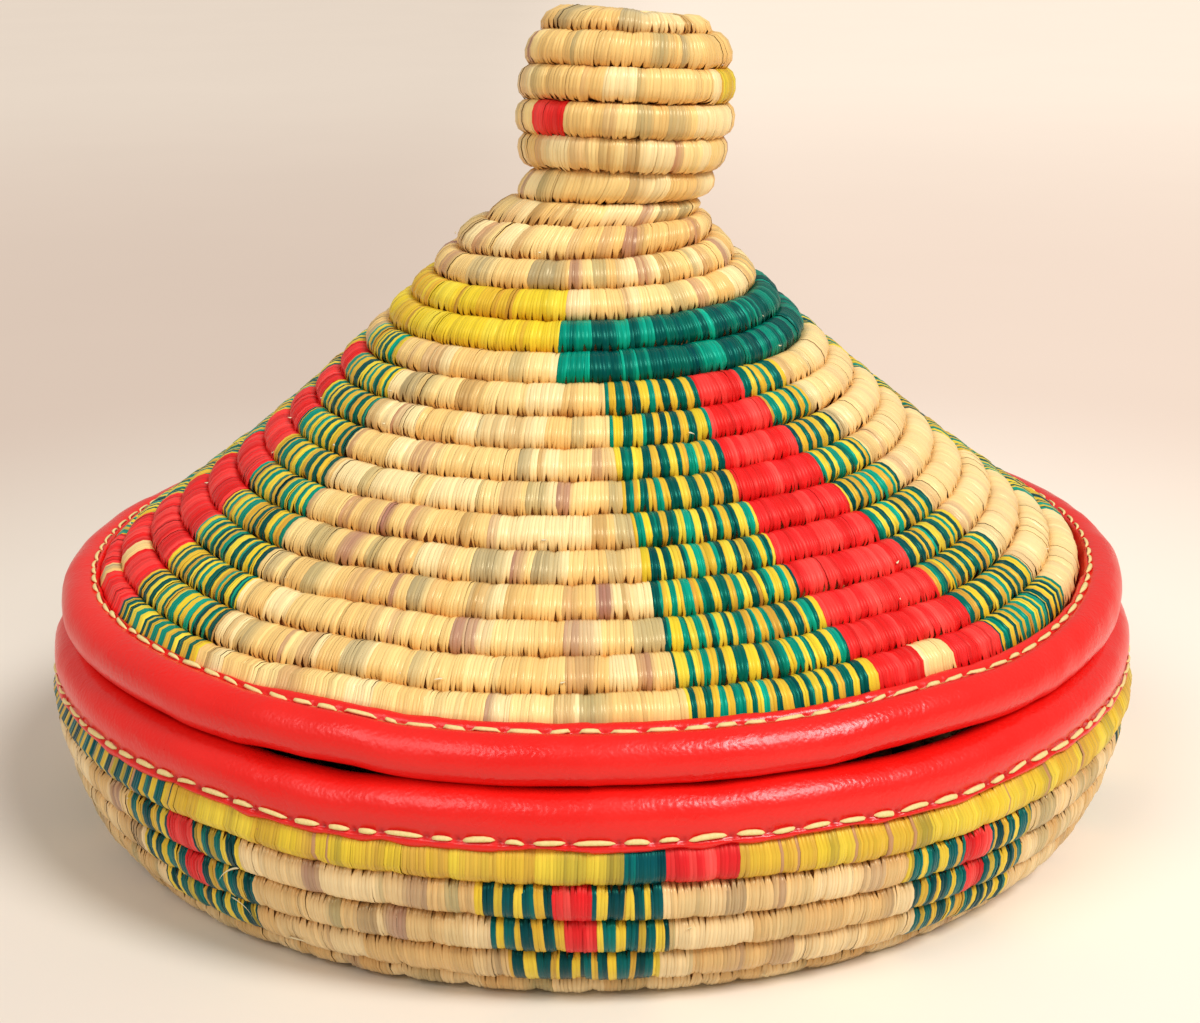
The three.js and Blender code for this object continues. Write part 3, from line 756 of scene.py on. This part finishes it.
def leather_strip(name, line, stitches, seam_at, bend, material, seed, hole_shade):
    """The leather's skin round a rim. Its section is a lip, a dent at the stitches, an arc round the
    roll and the other lip, as steps along the wall and out from it. Round the basket the dent deepens
    at each stitch hole, the lips' edges wander, and slow chance waves swell the roll. The tone is
    painted shade: it darkens along the seam, and by the hole shade at each hole."""
    steps = stitches * LEATHER_STEPS_A_STITCH
    turn = np.linspace(0, TAU, steps, endpoint=False)[:, None]
    seam, edge, height = seam_at(turn)
    root = seam - ROOT_FROM_SEAM
    root_out = height * np.sqrt(ROLL_RADIUS ** 2 - root ** 2)
    lip_back = np.concatenate([edge - 0.35, edge, edge - 0.35, (edge + seam) / 2 + 0.1, seam + 0.55,
                               seam + 0.2, seam - 0.2, seam - 0.7, seam - 1.25], axis=1)
    lip_out = np.concatenate([0 * seam + value for value in LIP_OUT] + [(LIP_OUT[-1] + root_out) / 2], axis=1)
    bow = (math.pi - np.arccos(root / ROLL_RADIUS)) * np.linspace(1, -1, 25)[None, :]
    back = np.concatenate([-lip_back, ROLL_RADIUS * np.cos(bow), -lip_back[:, ::-1]], axis=1)
    arc_out = ROLL_RADIUS * np.sin(bow) * np.where(bow > 0, height, 1)
    under_root = -np.sqrt(ROLL_RADIUS ** 2 - root ** 2)
    under_out = np.concatenate([-lip_out[:, :-1], (under_root - LIP_OUT[-1]) / 2], axis=1)
    out = np.concatenate([lip_out, arc_out, under_out[:, ::-1]], axis=1)
    side = np.sign(out)
    holes = stitch_holes(stitches, seed)
    from_hole = np.abs(turn - holes[None, :]).min(axis=1, keepdims=True) * line["radius"][-1]
    hole = np.exp(-(from_hole / 0.8) ** 2)
    by_seam = np.exp(-((back + seam) / 0.75) ** 2)
    above_seam = np.exp(-np.maximum(back + seam, 0) / 1.6) * (back > -seam - 0.4)
    arc_length = turn * line["radius"][-1]
    around = np.arctan2(out, back)
    lumps = (0.22 * drift(arc_length + 9 * around, 19.0, seed)
             + 0.14 * drift(arc_length - 5 * around, 7.5, seed + 1)
             + 0.2 * drift(arc_length, 43.0, seed + 2))
    on_roll = smooth_step(0.9 - seam, 4.3 - seam, back)
    radial = 1 + on_roll * lumps / ROLL_RADIUS
    dent = by_seam * (0.25 + 0.55 * hole) + 0.1 * hole * above_seam
    by_edge = smooth_step(1.0 - edge, -edge, back)
    wander = 0.4 * drift(arc_length, 7.0, seed + 3) + 0.35 * drift(arc_length, 23.0, seed + 4)
    back_now = back * radial + by_edge * (wander + 0.12 * hole)
    out_now = out * radial - side * dent
    places = bend(on_wall(line, line["rim"] + back_now, out_now, turn))
    faces = grid_faces(steps, back.shape[1], around=True, closed=True)
    # Painted shade: darker along the seam and in each stitch hole.
    seam_shade = 1 - by_seam * (0.06 + hole_shade * hole)
    return surface(name, places, faces, material, np.repeat(seam_shade[..., None], 3, axis=-1))


def running_stitches(name, line, holes, seam_at, width, side, bend, material, seed):
    """Separate stitches of thread along a lip, one from each hole to the next: a slim flat tube with
    blunt ends that rises out of one hole and dives into the next, slightly aslant and bowed. The side
    is 1 outside the basket and -1 inside."""
    rng = np.random.default_rng(seed)
    count = len(holes)
    share = np.array([0, 0.04, 0.13, 0.35, 0.65, 0.87, 0.96, 1])[None, :, None]
    around = np.linspace(0, TAU, 6, endpoint=False)[None, None, :]
    gap = HOLE_GAP * rng.uniform(0.7, 1.3, (count, 1, 1)) / line["radius"][-1]
    first = holes[:, None, None] + gap
    last = np.append(holes[1:], holes[0] + TAU)[:, None, None] - gap
    slant = rng.normal(0.2, 0.35, (count, 1, 1))
    shift = rng.normal(0, 0.14, (count, 1, 1))
    bow = rng.normal(0.2, 0.12, (count, 1, 1)) * (1 - (2 * share - 1) ** 2)
    swell = np.clip(1 - np.abs(2 * share - 1) ** 3.4, 0.004, 1) ** 0.6
    wide = width / 2 * swell * rng.uniform(0.84, 1.14, (count, 1, 1))
    turn = first + share * (last - first) + 0 * around
    back = -seam_at(turn)[0] + shift + bow + slant * (share - 0.5) + wide * np.cos(around)
    rise = 4.6 + 1.0 * smooth_step(0, 0.16, share) * smooth_step(1, 0.84, share)
    out = side * (rise + 0.55 * wide * np.sin(around))
    places = bend(on_wall(line, line["rim"] + back, out, turn))
    faces = copies(count, grid_faces(share.size, around.size, around=True))
    return surface(name, places, faces, material)


def rim_padding(name, line, bend, material):
    """The roll of grass inside the leather: a plain ring of twelve sides round the rim."""
    turn = np.linspace(0, TAU, 90, endpoint=False)[:, None]
    around = np.linspace(0, TAU, 12, endpoint=False)[None, :]
    back, out = PADDING_RADIUS * np.cos(around), PADDING_RADIUS * np.sin(around)
    places = bend(on_wall(line, line["rim"] + back, out, turn))
    return surface(name, places, grid_faces(len(turn), around.size, around=True, closed=True), material)


# Dyed sheepskin, polished: glossy on top, with pores under a millimetre across, faint scuffs,
# and painted shade that darkens it along the seam and in the stitch holes, where the thread pulls it in.
red_leather, tree = blank_material("red_dyed_leather")
spot = node(tree, "ShaderNodeTexCoord").outputs["Object"]
# The tone carries painted shade along the seam and at the stitch holes.
seam_shade = node(tree, "ShaderNodeVertexColor", {"layer_name": "tone"}).outputs["Color"]
patches = noise(tree, spot, 28.0, 4.0)
red = mix(tree, patches, linear("#E3110C"), linear("#F21E16"))
pores = node(tree, "ShaderNodeTexVoronoi", {"feature": "SMOOTH_F1"},
             {"Vector": spot, "Scale": 900.0}).outputs["Distance"]
wrinkles = noise(tree, spot, 260.0, 5.0, 0.8)
grain = node(tree, "ShaderNodeMath", {"operation": "MULTIPLY_ADD"},
             {0: wrinkles, 1: 1.8, 2: pores}).outputs[0]
relief = node(tree, "ShaderNodeBump", None, {"Height": grain, "Strength": 0.25, "Distance": 0.0004})
skin(tree, {"Base Color": mix(tree, 1.0, red, seam_shade, "MULTIPLY"), "Normal": relief.outputs[0],
            "Roughness": ramp(tree, patches, (0.35, 0.65), (0.22, 0.36))})

# Waxed cotton thread: cream, a little uneven from its ply.
thread, tree = blank_material("cream_waxed_cotton")
spot = node(tree, "ShaderNodeTexCoord").outputs["Object"]
ply = noise(tree, spot, 1400.0, 2.0)
twist = node(tree, "ShaderNodeBump", None, {"Height": ply, "Strength": 0.3, "Distance": 0.0002})
skin(tree, {"Base Color": mix(tree, ply, linear("#DCC074"), linear("#FBEAA6")), "Roughness": 0.55,
            "Normal": twist.outputs[0]})

TRAY_STITCHES = 108
tray_holes = stitch_holes(TRAY_STITCHES, 41)
rim_pieces = {
    "tray_rim_leather": leather_strip(
        "tray_rim_skin", tray_line, TRAY_STITCHES, tray_seam, tray_shape, red_leather, 41, 0.45),
    "tray_rim_core": rim_padding("tray_rim_padding", tray_line, tray_shape, grass),
    "tray_rim_outer_stitching": running_stitches(
        "tray_rim_outer_stitches", tray_line, tray_holes, tray_seam, 1.2, 1, tray_shape, thread, 42),
    "tray_rim_inner_stitching": running_stitches(
        "tray_rim_inner_stitches", tray_line, tray_holes, tray_seam, 1.4, -1, tray_shape, thread, 43),
}
for node_name, piece in rim_pieces.items():
    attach(piece, "tray")
    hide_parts(node_name)

# The lid: the same coil started at the middle of the knob's top, wound down the knob and its
# waist and out along a slightly hollow cone. The knob was sewn off centre, a step that comes in
# about the waist, and leans to the right and a little back.
LID_ROW_PITCH = 12.38
LID_ROW_NARROWING = 0.0568
LID_RIM = (167.5, 75.46)
CONE_TOP = (38.3, 184.86)
CONE_HOLLOW = 5.9
WAIST = (23.8, 201.56)
WAIST_SWEEP_UP = 6.3
WAIST_SWEEP_DOWN = 9.9
FLARE_SWEEP = 11.7
KNOB_SIDE = (29.3, 229.06)
KNOB_SIDE_SWEEP = 9.0
KNOB_DRAWN_IN_FROM = 17.7
KNOB_FLAT = (19.2, 252.06)
KNOB_TOP_SWEEP = 8.6
KNOB_OFFSET = 9.1
OFFSET_FROM = WAIST[1] - 14
OFFSET_FULL = WAIST[1] + 5
LEAN_RIGHT = math.tan(math.radians(6.2))
LEAN_BACK = math.tan(math.radians(4.6))
FULLER_RISE = 1.4
LID_ROWS = 22
MOTIFS_FROM = 13
LID_CREAMS = ("#FDDF97", "#F8D58A", "#FFE8AC", "#F4CC80")
# The pale cream that the lower natural rows on the right shift to: partly fresher splints, partly painted
# light on the key lamp's side.
LIT_SIDE_CREAM = "#FFE4A6"
LID_ENDS = ("#C4B07A", "#C49470", "#D6AC74", "#B6A478", "#E8C488", "#B07E6C", "#CCA566")
LID_DYES = (
    (LID_CREAMS, LID_ENDS, (5, 13), 0.55, True),
    (("#F22428", "#F83A38", "#E81C1E"), ("#FA4C48", "#DA1619"), (3, 8), 1.0),
    (("#005F54", "#00504C", "#008A74"), ("#004046", "#0AA88C"), (3, 8), 1.0),
    (("#EED234", "#E6BE38", "#F0DA44"), ("#DCA83C", "#D09E3C", "#ECCE3A"), (4, 9), 0.8),
)
cone_out = np.array([CONE_TOP[1] - LID_RIM[1], LID_RIM[0] - CONE_TOP[0]])
cone_bend = np.add(CONE_TOP, LID_RIM) / 2 - 2 * CONE_HOLLOW * cone_out / np.hypot(*cone_out)
cone_along = (cone_bend - CONE_TOP) / np.hypot(*(cone_bend - CONE_TOP))
lid_line = wall_line([
    [(0, KNOB_FLAT[1]), KNOB_FLAT],
    [KNOB_FLAT, beyond(KNOB_FLAT, (1, 0), KNOB_TOP_SWEEP),
     beyond(KNOB_SIDE, (0, 1), KNOB_SIDE_SWEEP), KNOB_SIDE],
    [KNOB_SIDE, beyond(KNOB_SIDE, (0, -1), KNOB_DRAWN_IN_FROM),
     beyond(WAIST, (0, 1), WAIST_SWEEP_UP), WAIST],
    [WAIST, beyond(WAIST, (0, -1), WAIST_SWEEP_DOWN), beyond(CONE_TOP, cone_along, -FLARE_SWEEP), CONE_TOP],
    [CONE_TOP, tuple(cone_bend), LID_RIM],
], -1, LID_ROW_PITCH, LID_ROW_NARROWING)


def lid_shape(places):
    """The lid as it has settled: the knob's step aside about the waist and its lean right and back
    above it, a fuller cone above the rim on the right, and slow waves towards the rim, which lifts at
    the two places where the rolls don't meet."""
    turn = np.arctan2(places[..., 0], -places[..., 1])
    share = smooth_step(140, 76, places[..., 2])
    fuller = smooth_step(73, 84, places[..., 2]) * smooth_step(165, 120, places[..., 2])
    fuller = fuller * smooth_step(40, 80, np.degrees(turn)) * smooth_step(172, 135, np.degrees(turn))
    full = smooth_step(OFFSET_FROM, OFFSET_FULL, places[..., 2])
    moved = places.copy()
    out = 1 + share * 0.7 * ring_wave(turn, 51) / 168
    moved[..., 0] *= out
    moved[..., 1] *= out
    above_waist = np.maximum(0, places[..., 2] - WAIST[1])
    moved[..., 0] += KNOB_OFFSET * full + LEAN_RIGHT * above_waist
    moved[..., 1] += LEAN_BACK * above_waist
    moved[..., 2] += (share * (0.6 * ring_wave(turn, 52) + 0.5 * rolls_part(turn)) + FULLER_RISE * fuller
                      - full * (LEAN_RIGHT * places[..., 0] + LEAN_BACK * places[..., 1]))
    return moved


def lid_dyes(wraps, seed):
    """Each wrap's dye on the lid, by its row, from 1 at the knob's top to 22 at the rim, and its azimuth.

    Three motifs widen towards the rim from the thirteenth row, each of stripes, a red middle and
    stripes again. Above them run half rows of teal and yellow. The knob has two small patches, and two
    patches at the rim are left natural.
    """
    row, azimuth = LID_ROWS - wraps["row"], wraps["azimuth"]
    down = np.clip((row - MOTIFS_FROM) / (LID_ROWS - MOTIFS_FROM), 0, 1)
    stripes = stripe_dyes(len(row), [2, 2, 3, 3], [2, 2, 3], seed)
    dye = np.zeros(len(row), int)
    low = row >= MOTIFS_FROM
    behind = azimuth % 360
    for place, left, red_left, red_right, right in (
        (azimuth, 3.3 + 6 * down, 24 + 5.5 * down ** 2, 36.5 + 11.5 * down ** 0.7, 50 + 15.5 * down),
        (azimuth, -111 - 2 * down, -89 - 1.5 * down, -75 + 11 * down ** 0.6, -51 + 6 * down),
        (behind, 91, 122 - 3 * down, 145 + 5 * down, 168 + 7 * down),
    ):
        dye = np.where(low & (place > left) & (place < right), stripes, dye)
        dye = np.where(low & (place > red_left) & (place < red_right), RED, dye)
    for patch_row, begin, end, kind in (
        (12, -78.7, -56.3, stripes), (12, -7.8, 181, TEAL),
        (11, -181, -8.4, YELLOW), (11, -8.4, 181, TEAL), (10, -181, -6.8, YELLOW),
        (4, -57, -34, RED), (3, 57, 100, YELLOW),
        (21, -78, -74.5, NATURAL), (22, -78, -74.5, NATURAL), (22, 35.5, 40.0, NATURAL),
    ):
        dye = np.where((row == patch_row) & (azimuth > begin) & (azimuth < end), kind, dye)
    return dye


lid_turns = coil_turn(lid_line, COIL_START)
waist_walked = np.interp(-WAIST[1], -lid_line["height"], lid_line["distance"])
knob_turns = coil_turn(lid_line, waist_walked + 5)
lid_wraps = lay_wraps(lid_line, COIL_END, lid_turns, WRAP_SPACING, 61)
lid_dye = lid_dyes(lid_wraps, 62)
lid_tones = dyed_tones(lid_dye, LID_DYES, 63)
# Over the lower rows on the right, natural wraps turn paler and less aged: partly fresher splints, partly
# painted light on the side the key lamp lights.
lit_side_paling = smooth_step(48, 72, lid_wraps["azimuth"]) * smooth_step(150, 125, lid_wraps["azimuth"])
lit_side_paling = 0.75 * (lit_side_paling * (lid_dye == NATURAL) * (lid_wraps["row"] < 10))[:, None]
lid_tones = lid_tones * (1 - lit_side_paling) + lit_side_paling * np.array(linear(LIT_SIDE_CREAM)[:3])
LID_PARTS = (
    ("lid_knob", "lid_knob_coil", knob_turns, lid_turns),
    ("lid_cone_top", "lid_cone_coil", 8.5 * TAU, knob_turns),
    ("lid_cone_middle", "lid_cone_coil", 4.5 * TAU, 8.5 * TAU),
    ("lid_cone_low", "lid_cone_coil", 1.5 * TAU, 4.5 * TAU),
    ("lid_cone_edge", "lid_cone_coil", COIL_END, 1.5 * TAU),
)
lid_pieces = [
    (grass_core("lid_knob_grass", lid_line, knob_turns, lid_turns, lid_shape, grass), "lid_knob_coil"),
    (starting_knot("lid_knob_knot", lid_line, lid_shape, natural_splint, "#E8C488"), "lid_knob_coil"),
    (grass_core("lid_cone_grass", lid_line, COIL_END, knob_turns, lid_shape, grass), "lid_cone_coil"),
    (loose_ends("lid_tips", lid_line, scattered_ends(lid_line, 46, (0.6, 14.5), 65), lid_shape,
                natural_splint, "#F6E8C0"), "lid_cone_coil"),
]
for part, solid, outer_turn, inner_turn in LID_PARTS:
    where = (lid_wraps["turn"] > outer_turn) & (lid_wraps["turn"] <= inner_turn)
    for dye, (word, material) in DYES.items():
        which = where & (lid_dye == dye)
        if which.any():
            ribbons = wrap_ribbons(f"{part}_{word}_splints", lid_line, choose(lid_wraps, which),
                                   lid_tones[which], lid_shape, material, 64)
            lid_pieces.append((ribbons, solid))
for piece, solid in lid_pieces:
    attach(piece, "lid")
    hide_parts(solid)

# The lid's rim: the same roll of grass, leather and thread as the tray's. It rests on the tray's
# roll, slightly further in, and only two narrow gaps show between them.
LID_STITCHES = 114
lid_holes = stitch_holes(LID_STITCHES, 71)
lid_rim_pieces = {
    "lid_rim_leather": leather_strip(
        "lid_rim_skin", lid_line, LID_STITCHES, lid_seam, lid_shape, red_leather, 71, 0.12),
    "lid_rim_core": rim_padding("lid_rim_padding", lid_line, lid_shape, grass),
    "lid_rim_outer_stitching": running_stitches(
        "lid_rim_outer_stitches", lid_line, lid_holes, lid_seam, 1.5, 1, lid_shape, thread, 72),
    "lid_rim_inner_stitching": running_stitches(
        "lid_rim_inner_stitches", lid_line, lid_holes, lid_seam, 1.3, -1, lid_shape, thread, 73),
}
for node_name, piece in lid_rim_pieces.items():
    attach(piece, "lid")
    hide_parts(node_name)
